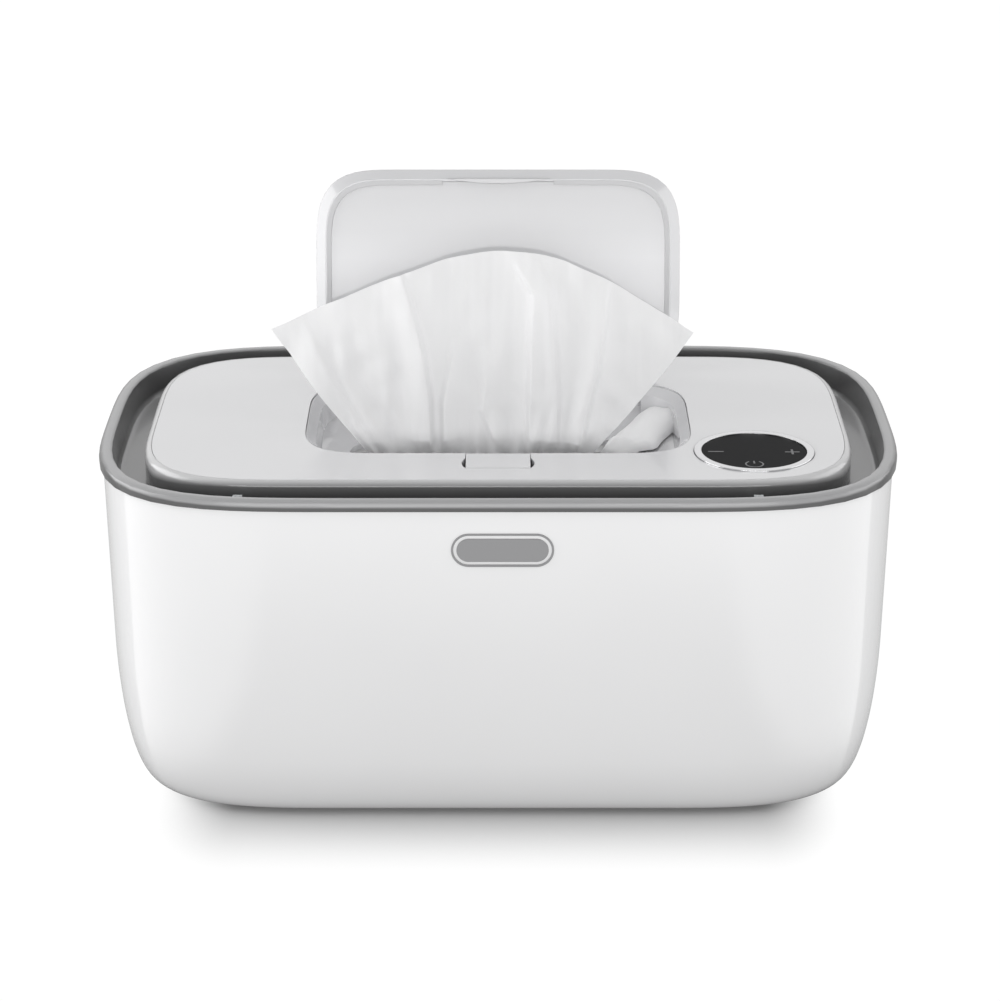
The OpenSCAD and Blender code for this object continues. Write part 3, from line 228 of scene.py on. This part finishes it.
# Colour, roughness and the rest of each material
LOOKS = {
    # Painted shade: the shell's colour darkens towards its foot
    "shell_white": ((0.86, 0.86, 0.865), 0.25, dict(
        coat=1.0, bevel=0, bump=0,
        painted_shading=[(1.0, 0.7), (6.0, 0.86), (20.0, 0.94), (60.0, 0.97), (103.0, 1.0)])),
    # Painted shade: the moat's walls are painted dark, with the moat floor and the rim's top left
    # light
    "rim_grey": ((0.38, 0.38, 0.385), 0.3, dict(
        coat=0.35, coat_rough=0.12, shade_lean=-0.05,
        painted_shading=[(97.0, 1.0), (97.7, 0.9), (99.2, 0.12), (105.3, 0.15), (105.9, 0.86),
               (106.0, 0.94)])),
    # Painted shade: the lid's border darkens down its skirt into the moat, reaching higher at the
    # front
    "lid_border": ((0.58, 0.58, 0.585), 0.25, dict(
        coat=0.6, shade_lean=0.17, painted_shading=[(96.0, 0.12), (102.3, 0.25), (104.4, 1.0), (106.8, 1.0)])),
    "lid_white": ((0.675, 0.675, 0.688), 0.22, dict(coat=1.0)),
    # Painted light: the panel is lighter low down, lifting it out of the wipe's shadow, and darker
    # towards its top
    "flip_panel": ((0.705, 0.705, 0.719), 0.22, dict(
        coat=1.0,
        painted_shading=[(125.0, 1.0), (138.0, 0.98), (144.0, 0.965), (152.0, 0.86), (162.0, 0.8)])),
    "flip_seal": ((0.65, 0.65, 0.66), 0.5, {}),
    "seal_grey": ((0.55, 0.55, 0.55), 0.6, {}),
    "badge_grey": ((0.29, 0.29, 0.295), 0.35, {}),
    "lens_black": ((0.012, 0.012, 0.013), 0.3, dict(specular=0.015)),
    "touch_symbol": ((0.16, 0.16, 0.165), 0.5, dict(bevel=0)),
    "bezel_chrome": ((0.74, 0.74, 0.75), 0.12, dict(metal=1.0)),
    # Painted light: the cloth is lighter near the slit, lifting it out of the well's shade, and
    # lighter again towards its top; darker between
    "wipe_cloth": ((0.9, 0.9, 0.905), 0.75, dict(
        bump=0.06, grain=900, bevel=0, sheen=0.2, mottle=0.015,
        painted_shading=[(98.0, 1.0), (104.0, 0.97), (112.0, 0.935), (125.0, 0.95), (140.0, 1.0)])),
    "clear_silicone": ((0.75, 0.78, 0.8), 0.2, dict(transmission=0.6)),
    "tank_white": ((0.74, 0.74, 0.745), 0.35, {}),
    "aluminium": ((0.75, 0.76, 0.77), 0.35, dict(metal=1.0)),
    "heater_film": ((0.5, 0.24, 0.06), 0.4, {}),
    "felt_grey": ((0.2, 0.2, 0.2), 0.95, dict(bump=0.2)),
    "plastic_grey": ((0.6, 0.6, 0.6), 0.45, {}),
    "steel": ((0.6, 0.6, 0.61), 0.3, dict(metal=1.0)),
    "black_plastic": ((0.02, 0.02, 0.02), 0.5, {}),
    "fuse_body": ((0.7, 0.62, 0.4), 0.5, {}),
    "board_green": ((0.02, 0.1, 0.04), 0.4, {}),
    "capacitor": ((0.08, 0.09, 0.2), 0.35, {}),
    "connector_ivory": ((0.75, 0.7, 0.55), 0.5, {}),
    "rubber_black": ((0.025, 0.025, 0.025), 0.8, dict(bump=0.05)),
    "lead_black": ((0.02, 0.02, 0.02), 0.5, {}),
    "lead_red": ((0.4, 0.02, 0.015), 0.5, {}),
    "lead_yellow": ((0.65, 0.42, 0.02), 0.5, {}),
    "lead_grey": ((0.12, 0.12, 0.12), 0.5, {}),
}
MATS = {name: material(name, color, rough, **more) for name, (color, rough, more) in LOOKS.items()}

for name, obj in nodes.items():
    if slots[name] in MATS:
        obj.data.materials.clear()
        obj.data.materials.append(MATS[slots[name]])
# Pieces whose look differs from the rest of their slot
for name, look in (("lid_frame", "lid_border"), ("flip_liner", "flip_panel"),
                   ("flip_seal", "flip_seal")):
    nodes[name].data.materials[0] = MATS[look]
for name in ("rim_deck", "lid_frame", "lid_top_panel", "dispenser_tray", "flip_cover", "flip_liner",
             "lid_liner", "wipe_tank", "touch_bezel", "touch_lens", "badge_plate", "latch_button",
             "flip_seal", "dispenser_seal", "lid_hinge_pins", "base_plate", "rubber_feet",
             "lid_bumpers"):
    soften(nodes[name])


# White outer shell, remade with fine curves

def shell_inset(z):
    """How far the shell's outside lies within the rim's outline at a height."""
    q = math.pi / 2
    if z < FOOT + TURN_H:
        q = math.acos(max(-1.0, min(1.0, (TURN_H - (z - FOOT)) / TURN_H)))
    return OVERHANG + DRAFT * (SHELL_TOP - z) + TURN_W * (1 - math.sin(q))


levels = [FOOT + TURN_H * (1 - math.cos(math.radians(q))) for q in range(0, 91, 3)]
levels += list(np.linspace(levels[-1], SHELL_TOP, 7)[1:])
rings = [(rim_outline(shell_inset(z)), z) for z in levels]
rings += [(rim_outline(OVERHANG + WALL), SHELL_TOP)]
rings += [(rim_outline(shell_inset(z) + WALL), z) for z in reversed(levels[4::4])]
rings += [(rim_outline(shell_inset(FOOT) + WALL), FOOT)]
shell = loft("shell_skin", rings)

# Socket hole through the rear wall
turns = [2 * math.pi * i / JACK_SIDES for i in range(JACK_SIDES)]
verts = [((JACK_X + JACK_R * math.cos(a)) * MM, y * MM, (JACK_Z + JACK_R * math.sin(a)) * MM)
         for y in (JACK_FROM, JACK_TO) for a in turns]
faces = [(JACK_SIDES + i, JACK_SIDES + (i + 1) % JACK_SIDES, (i + 1) % JACK_SIDES, i)
         for i in range(JACK_SIDES)]
faces += [tuple(range(JACK_SIDES)), tuple(range(2 * JACK_SIDES - 1, JACK_SIDES - 1, -1))]
punch = mesh_object("punch", verts, faces, smooth=False)
cut = shell.modifiers.new("socket", "BOOLEAN")
cut.operation = "DIFFERENCE"
cut.solver = "EXACT"
cut.object = punch
bpy.context.view_layer.update()
depsgraph = bpy.context.evaluated_depsgraph_get()
skin = bpy.data.meshes.new_from_object(shell.evaluated_get(depsgraph))
shell.modifiers.clear()
shell.data = skin
bpy.data.objects.remove(punch)
soften(shell, 40)
shell.data.materials.append(MATS["shell_white"])
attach(shell, "base")
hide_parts("outer_shell")


# Touch symbols, printed on the lens

PRINT_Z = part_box("touch_lens")[1][2] + 0.04 * MM
# Strokes, each as the x where it starts and ends and the y where it starts and ends
MINUS_BARS = [(63.6, 68.3, -34.8, -34.1)]
PLUS_BARS = [(86.9, 91.3, -35.2, -34.5), (88.75, 89.45, -37.0, -35.2),
             (88.75, 89.45, -34.5, -32.6)]
POWER_BARS = [(76.6, 77.1, -45.2, -42.9)]
# Ring of the power symbol: its centre and two radii, and its start and run in degrees and its steps
RING_X, RING_Y, RING_RADII = 76.85, -45.6, (2.35, 2.85)
RING_FROM, RING_TURN, RING_STEPS = 125, 290, 40


def bars(strokes):
    verts, faces = [], []
    for x0, x1, y0, y1 in strokes:
        k = len(verts)
        verts += [(x * MM, y * MM, PRINT_Z) for x, y in ((x0, y0), (x1, y0), (x1, y1), (x0, y1))]
        faces.append((k, k + 1, k + 2, k + 3))
    return verts, faces


def mark(name, verts, faces):
    obj = mesh_object(name, verts, faces, smooth=False)
    obj.data.materials.append(MATS["touch_symbol"])
    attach(obj, "main_lid")


mark("minus_symbol", *bars(MINUS_BARS))
mark("plus_symbol", *bars(PLUS_BARS))
verts, faces = bars(POWER_BARS)
for i in range(RING_STEPS + 1):
    a = math.radians(RING_FROM + RING_TURN * i / RING_STEPS)
    verts += [((RING_X + r * math.cos(a)) * MM, (RING_Y + r * math.sin(a)) * MM, PRINT_Z)
              for r in RING_RADII]
    if i:
        k = len(verts)
        faces.append((k - 4, k - 3, k - 1, k - 2))
mark("power_symbol", verts, faces)


# Wipe: one gathered cloth drawn up through the slit

COLS, ROWS = 340, 170
# Share of the rows that hang below the slit, and how far down they reach
V_SLIT, HANG = 0.46, 55.5
# Slit: its height, its line from front to back, and the middle and half width of the cloth in it
SLIT_Z, SLIT_Y, SLIT_X, SLIT_HALF = 98.0, -10.0, -5.5, 35.3
# Gathers: their number, and their depth in the slit's hold below it and at its top
GATHERS, GATHER_HELD, GATHER_FREE = 15, 2.95, 0.5
# Top edge, as shares of the cloth's width and where they lie
EDGE_U = [0, 0.135, 0.25, 0.37, 0.465, 0.56, 0.64, 0.71, 0.81, 0.9, 1]
EDGE_X = [-70.4, -51.7, -36.3, -20.9, -8.6, 3.7, 12.9, 22.1, 34.4, 46.7, 60.7]
EDGE_Z = [134.8, 144.0, 150.3, 156.0, 158.7, 159.8, 159.2, 156.6, 151.1, 143.3, 133.6]
EDGE_KERNEL = np.array([1, 2, 3, 2, 1]) / 9
# Standing folds, each as its run of (x, z) from the top down, its height and the widths of its
# left and right flanks
FOLDS = [
    ([(-31.1, 155.3), (-27.4, 144.9), (-23.5, 130.5), (-21.7, 114.9), (-21.2, 98.0)],
     3.1, 5.5, 1.1),
    ([(-12.7, 134.3), (-16.4, 114.9), (-16.5, 98.0)], 2.5, 1.3, 4.5),
    ([(-3.0, 128.0), (-4.5, 112.0), (1.0, 98.0)], 1.8, 1.2, 4.0),
    ([(5.5, 156.6), (11.2, 147.5), (10.7, 136.9), (10.2, 114.9), (9.9, 98.0)], 4.2, 1.2, 7.5),
    ([(10.4, 158.8), (16.0, 150.0), (16.6, 139.6), (17.9, 120.4)], 2.2, 3.0, 1.1),
    ([(33.4, 150.7), (32.0, 136.6), (29.9, 123.1), (27.8, 114.9), (24.4, 98.0)], 3.7, 4.5, 1.1),
    ([(-48.4, 140.1), (-47.3, 121.2), (-36.0, 98.0)], 1.4, 2.4, 3.4),
    ([(-60.0, 138.0), (-50.0, 118.0), (-38.5, 98.0)], 0.8, 2.0, 1.2),
]
FOLD_FADE = 14


def ridge(x, z, run, height, left, right):
    """A fold standing towards the front along its run, fading out at the run's top."""
    heights = [p[1] for p in reversed(run)]
    t = x - np.interp(z, heights, [p[0] for p in reversed(run)])
    flank = np.where(t < 0, np.exp(-(t / left) ** 2), np.exp(-(t / right) ** 2))
    return height * flank * np.clip((run[0][1] - z) / FOLD_FADE, 0, 1) ** 0.7


def crinkle(x, z, seed, count, low, high, spread=0.3, upward=0.35):
    """Irregular relief made of waves, low to high radians per millimetre. Spread is how far their
    directions turn from sideways, and upward is how much of the turn tells along the height."""
    rng = np.random.default_rng(seed)
    total = 0 * x
    for _ in range(count):
        k, turn = rng.uniform(low, high), rng.normal(0, spread)
        bend, start = rng.uniform(0, 6.3), rng.uniform(0, 6.3)
        total = total + np.cos(k * (x * math.cos(turn) + upward * z * math.sin(turn)) + 0.05 * z
                               + 1.4 * np.sin(0.09 * z + bend) + start)
    return total / math.sqrt(count)


def wipe_grid():
    """Points of the drawn wipe, row by row from its hidden end up to its top edge."""
    u = np.linspace(0, 1, COLS + 1)[None, :]
    v = np.linspace(0, 1, ROWS + 1)[:, None]
    up = np.clip((v - V_SLIT) / (1 - V_SLIT), 0, 1)
    down = np.clip(1 - v / V_SLIT, 0, 1)
    s = 2 * u - 1
    # Each thread runs from its place in the slit to its place on the rounded top edge
    edge_u = np.linspace(0, 1, 41)
    edge_x, edge_z = np.interp(edge_u, EDGE_U, EDGE_X), np.interp(edge_u, EDGE_U, EDGE_Z)
    for line in (edge_x, edge_z):
        line[2:-2] = np.convolve(line, EDGE_KERNEL, "valid")
    x = (SLIT_X + SLIT_HALF * s) * (1 - up) + np.interp(u, edge_u, edge_x) * up
    z = SLIT_Z * (1 - up) + np.interp(u, edge_u, edge_z) * up
    z = np.where(v < V_SLIT, SLIT_Z - HANG * down, z)
    # Gathers: close and as deep as the slit lets them be below it, slight and uneven above it
    wave = u + 0.012 * np.sin(2 * np.pi * 2.3 * u + 1) + 0.008 * np.sin(2 * np.pi * 4.1 * u)
    uneven = 0.65 + 0.35 * np.sin(2 * np.pi * 1.4 * u + 2.2)
    deep = GATHER_FREE * uneven * (1 - up) ** 2.6 + GATHER_HELD * np.minimum(1, 6 * down)
    y = deep * np.sin(2 * np.pi * GATHERS * (wave + 0.014 * np.sin(7 * down + 4 * u)))
    # Broad sway, the folds, and relief that is stronger in patches
    y = y + 1.3 * up * np.sin(2 * np.pi * 1.7 * u + 1.6 * up + 0.9)
    for run, height, left, right in FOLDS:
        y = y - ridge(x, z, run, height, left, right) * np.minimum(1, 12 * up)
    patchy = 0.5 + 0.5 * np.sin(0.11 * x + 0.16 * z + 1.5 * np.sin(0.07 * x - 0.09 * z))
    relief = (0.65 * crinkle(x, z, 5, 9, 0.15, 0.42) + 0.05 * crinkle(x, z, 8, 14, 0.8, 2.0)
              + 0.36 * patchy * crinkle(x, z, 21, 16, 0.35, 0.9, 0.8, 0.8))
    y = y + relief * np.minimum(1, 6 * up)
    # Backward lean, with the two sides a little ahead
    y = y + SLIT_Y + 10.5 * up * up - 1.0 * np.abs(s) * up
    return np.stack([x, y, z], axis=-1)


# Roll at the well's right end: its middle line as shares of its length and where they lie, and the
# direction of its length
LAP_T = [0, 0.12, 0.3, 1]
LAP_X = [30.5, 35.0, 42.0, 55.0]
LAP_Y = [-10.5, -12.0, -8.0, 25.0]
LAP_WAY = np.array([14.0, 40.0]) / math.hypot(14.0, 40.0)
# Height where it starts, its climb to the well's floor, its own height and the crest's offset
LAP_Z, LAP_CLIMB, LAP_HIGH, LAP_CREST = 93.0, 5.6, 3.2, -0.25


def lap_grid():
    """Corner of the same cloth, lying as a low roll from the slit to the right rear of the well."""
    t = np.linspace(0, 1, 61)[:, None]
    w = np.linspace(-1, 1, 33)[None, :]
    half = (1.2 + 6.0 * np.minimum(1, t / 0.35) + 0.6 * np.sin(9 * t)
            - 1.5 * np.clip((t - 0.8) / 0.2, 0, 1))
    rise = np.clip((t - 0.02) / 0.2, 0, 1)
    height = (LAP_HIGH + 1.6 * np.sin(np.pi * t)) * np.clip((1.04 - t) / 0.15, 0, 1) ** 0.5
    crest = np.where(w < LAP_CREST, (w - LAP_CREST) / (1 + LAP_CREST),
                     (w - LAP_CREST) / (1 - LAP_CREST))
    x = np.interp(t, LAP_T, LAP_X) + LAP_WAY[1] * half * w
    y = np.interp(t, LAP_T, LAP_Y) - LAP_WAY[0] * half * w
    z = (LAP_Z + LAP_CLIMB * rise + height * np.sqrt(np.clip(1 - crest * crest, 0, 1))
         + 0.35 * np.abs(np.sin(4 * w + 4 * t)))
    return np.stack([x, y, z], axis=-1)


verts, faces = [], []
for grid in (wipe_grid(), lap_grid()):
    rows, cols = grid.shape[:2]
    k = len(verts)
    verts += [tuple(p * MM) for p in grid.reshape(-1, 3)]
    for j in range(rows - 1):
        for i in range(cols - 1):
            a = k + j * cols + i
            faces.append((a, a + 1, a + cols + 1, a + cols))
cloth = mesh_object("wipe_cloth", verts, faces)
cloth.data.materials.append(MATS["wipe_cloth"])
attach(cloth, "wipe")
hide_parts("wipe")
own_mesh(cloth)


# Latch spring, a copy of its part carried with the main lid

spring = bpy.data.objects.new("spring_coil", nodes["latch_spring"].data.copy())
bpy.context.scene.collection.objects.link(spring)
spring.matrix_world = nodes["latch_spring"].matrix_world.copy()
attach(spring, "main_lid")
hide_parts("latch_spring")
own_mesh(spring)


# Floor, in metres from here on

# Glow of the white floor as matt faces see it, and as glossy faces see it behind, beside and in
# front of the part, and the strength that the camera sees as white
MATT_GLOW, BEHIND_GLOW, SIDE_GLOW, FRONT_GLOW, WHITE = 0.7, 0.55, 1.25, 1.9, 1.02
# Glow of the world off camera
WORLD_GLOW = 0.52
# Boxes around which the floor keeps its shadow for the camera and for the rest, each as half its
# width, half its depth and the stretch of the sideways distance, and how far the shadow fades out
SHADOW_SEEN, SHADOW_SEEN_FADE = (0.08, 0.062, 1.65), 0.046
SHADOW_UNSEEN, SHADOW_UNSEEN_FADE = (0.095, 0.045, 1.0), 0.065
# Shadowed floor's brightness for the camera and for the rest
SHADE_SEEN, SHADE_UNSEEN = 0.7, 0.4
# Where the side glow starts: past a slanting line on either side, and away from the middle
SLANT, SLANT_FROM, SLANT_TO, SIDE_FROM, SIDE_TO = 0.41, 0.093, 0.096, 0.09, 0.12
# Where the front glow starts
FRONT_FROM, FRONT_TO = 0.16, 0.36
FLOOR_HALF = 3

floor = mesh_object("floor", [(-FLOOR_HALF, -FLOOR_HALF, 0), (FLOOR_HALF, -FLOOR_HALF, 0),
                              (FLOOR_HALF, FLOOR_HALF, 0), (-FLOOR_HALF, FLOOR_HALF, 0)],
                    [(0, 1, 2, 3)], smooth=False)
floor_mat = bpy.data.materials.new("floor")
floor_mat.use_nodes = True
tree = floor_mat.node_tree


def between(value, low, high):
    """Smooth step of a value from 0 at low to 1 at high."""
    return add(tree, "ShaderNodeMapRange", {"Value": value, "From Min": low, "From Max": high},
               interpolation_type="SMOOTHSTEP").outputs["Result"]


def pick(factor, a, b):
    """Blend of a at factor 0 and b at factor 1."""
    return add(tree, "ShaderNodeMix", {"Factor": factor, "A": a, "B": b}).outputs["Result"]


def maths(operation, *values):
    return add(tree, "ShaderNodeMath", dict(enumerate(values)), operation=operation).outputs[0]


def vector_maths(operation, *values):
    node = add(tree, "ShaderNodeVectorMath", dict(enumerate(values)), operation=operation)
    return node.outputs["Value" if operation == "LENGTH" else "Vector"]


here = add(tree, "ShaderNodeTexCoord").outputs["Object"]
path = add(tree, "ShaderNodeLightPath")
split = add(tree, "ShaderNodeSeparateXYZ", {0: here})
folded = vector_maths("ABSOLUTE", here)


def away_from(half_w, half_d, stretch):
    """Distance outside a box on the floor, with the sideways part stretched."""
    past = vector_maths("SUBTRACT", folded, (half_w, half_d, 0))
    past = vector_maths("MAXIMUM", past, (0, 0, 0))
    return vector_maths("LENGTH", vector_maths("MULTIPLY", past, (stretch, 1, 0)))


seen = between(away_from(*SHADOW_SEEN), 0.0, SHADOW_SEEN_FADE)
unseen = between(away_from(*SHADOW_UNSEEN), 0.0, SHADOW_UNSEEN_FADE)
across = maths("ABSOLUTE", split.outputs["X"])
ahead = maths("MULTIPLY", split.outputs["Y"], -1.0)
slant = maths("MULTIPLY_ADD", across, SLANT, ahead)
beside = maths("MULTIPLY", between(slant, SLANT_FROM, SLANT_TO),
               between(across, SIDE_FROM, SIDE_TO))
glossy = pick(beside, BEHIND_GLOW, SIDE_GLOW)
glossy = pick(between(ahead, FRONT_FROM, FRONT_TO), glossy, FRONT_GLOW)
strength = pick(path.outputs["Is Glossy Ray"], MATT_GLOW, glossy)
strength = pick(path.outputs["Is Camera Ray"], strength, WHITE)
glow = add(tree, "ShaderNodeEmission", {"Strength": strength})
bsdf = tree.nodes["Principled BSDF"]
bsdf.inputs["Roughness"].default_value = 0.18
tree.links.new(pick(path.outputs["Is Camera Ray"], SHADE_UNSEEN, SHADE_SEEN),
               bsdf.inputs["Base Color"])
blend = add(tree, "ShaderNodeMixShader", {
    "Fac": pick(path.outputs["Is Camera Ray"], unseen, seen), 1: bsdf.outputs[0],
    2: glow.outputs[0]})
tree.links.new(blend.outputs[0], tree.nodes["Material Output"].inputs["Surface"])
floor.data.materials.append(floor_mat)


# Lights, world and camera

def softbox(name, place, aim, size, power):
    light = bpy.data.lights.new(name, "AREA")
    light.shape = "RECTANGLE"
    light.size, light.size_y = size
    light.energy = power
    obj = bpy.data.objects.new(name, light)
    bpy.context.scene.collection.objects.link(obj)
    obj.location = place
    obj.rotation_euler = (Vector(aim) - Vector(place)).to_track_quat("-Z", "Y").to_euler()


softbox("left", (-1.08, 0.19, 0.5), (0, 0, 0.06), (1.32, 1.1), 10.5)
softbox("right", (1.08, 0.19, 0.5), (0, 0, 0.06), (1.32, 1.1), 6.2)
softbox("front", (0, -1.7, 0.42), (0, 0, 0.06), (1.6, 0.5), 9.0)
softbox("back", (0, 1.6, 0.75), (0, 0, 0.1), (2.6, 0.9), 3.0)

scene = bpy.context.scene
world = bpy.data.worlds.new("studio")
scene.world = world
world.use_nodes = True
tree = world.node_tree
background = tree.nodes["Background"]
background.inputs["Color"].default_value = (1, 1, 1, 1)
path = add(tree, "ShaderNodeLightPath")
tree.links.new(pick(path.outputs["Is Camera Ray"], WORLD_GLOW, WHITE),
               background.inputs["Strength"])

# Camera, as solved from the photo
CAMERA_PLACE, CAMERA_TILT = (0.0, -0.9186, 0.4218), 68.503
CAMERA_LENS, CAMERA_SHIFT = 111.462, (0.0019, 0.0534)
camera = bpy.data.cameras.new("camera")
camera.sensor_fit = "HORIZONTAL"
camera.sensor_width = 36.0
camera.lens = CAMERA_LENS
camera.shift_x, camera.shift_y = CAMERA_SHIFT
camera.clip_start, camera.clip_end = 0.01, 50
eye = bpy.data.objects.new("camera", camera)
scene.collection.objects.link(eye)
eye.location = CAMERA_PLACE
eye.rotation_euler = (math.radians(CAMERA_TILT), 0, 0)
scene.camera = eye
scene.view_settings.view_transform = "Standard"
